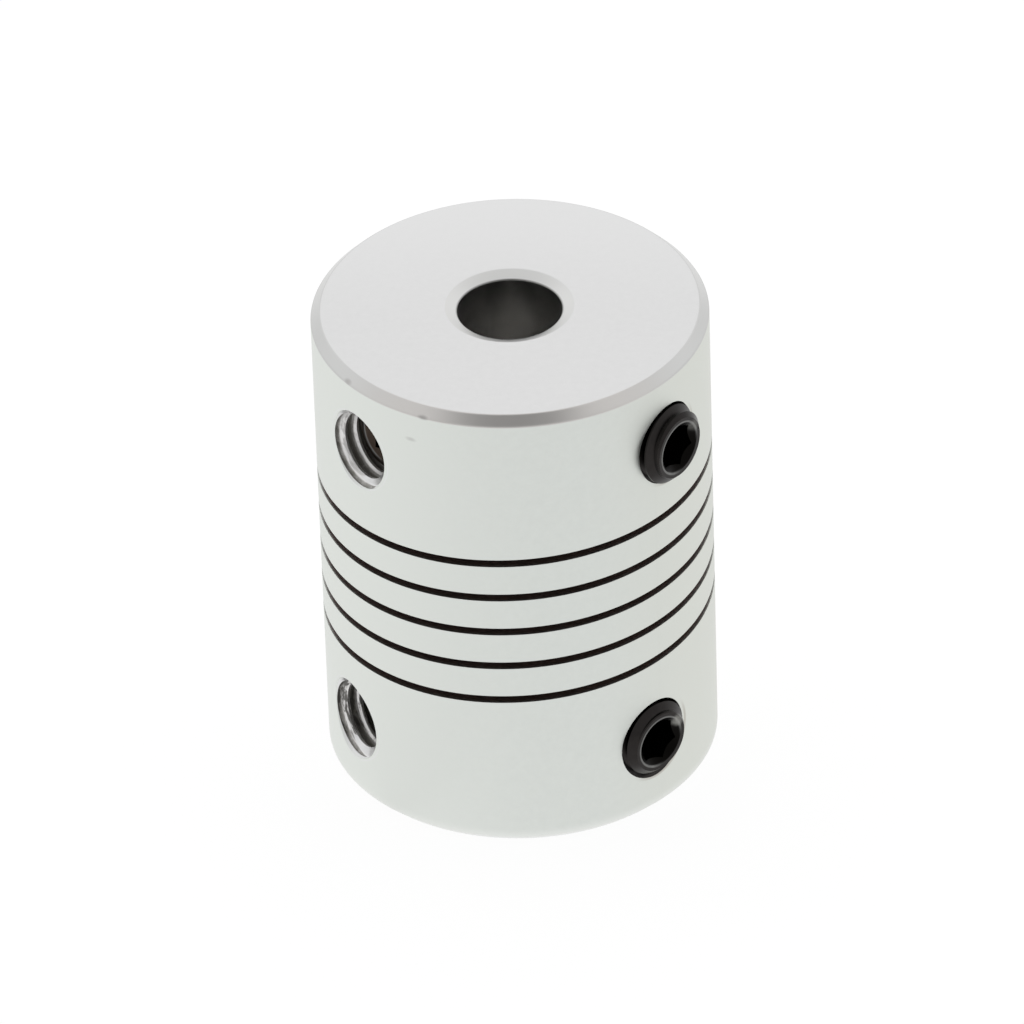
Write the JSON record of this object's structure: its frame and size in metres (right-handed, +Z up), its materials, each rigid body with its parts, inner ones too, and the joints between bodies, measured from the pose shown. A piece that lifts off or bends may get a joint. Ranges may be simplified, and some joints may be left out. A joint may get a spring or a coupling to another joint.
{
  "type": "shaft coupling",
  "caption": "One-piece flexible shaft coupling: an aluminium cylinder with a through bore, a spiral slot cut through its middle, and set screws that grip a shaft at each end.",
  "frame": {"origin": "centre of the lower end face, on the shaft axis", "axes": "+Z up the shaft axis from the lower bore to the upper bore; -Y halves the angle between the two upper set screws; +X completes a right-handed frame"},
  "size_m": [0.019, 0.019, 0.025],
  "materials": {
    "satin_aluminium": "fine turned, satin",
    "black_oxide_steel": "black oxide, lightly oiled"
  },
  "bodies": {
    "root": {"coupling_body": "satin_aluminium", "upper_right_set_screw": "black_oxide_steel", "upper_left_set_screw": "black_oxide_steel", "lower_right_set_screw": "black_oxide_steel", "lower_left_set_screw": "black_oxide_steel"}
  },
  "joints": []
}
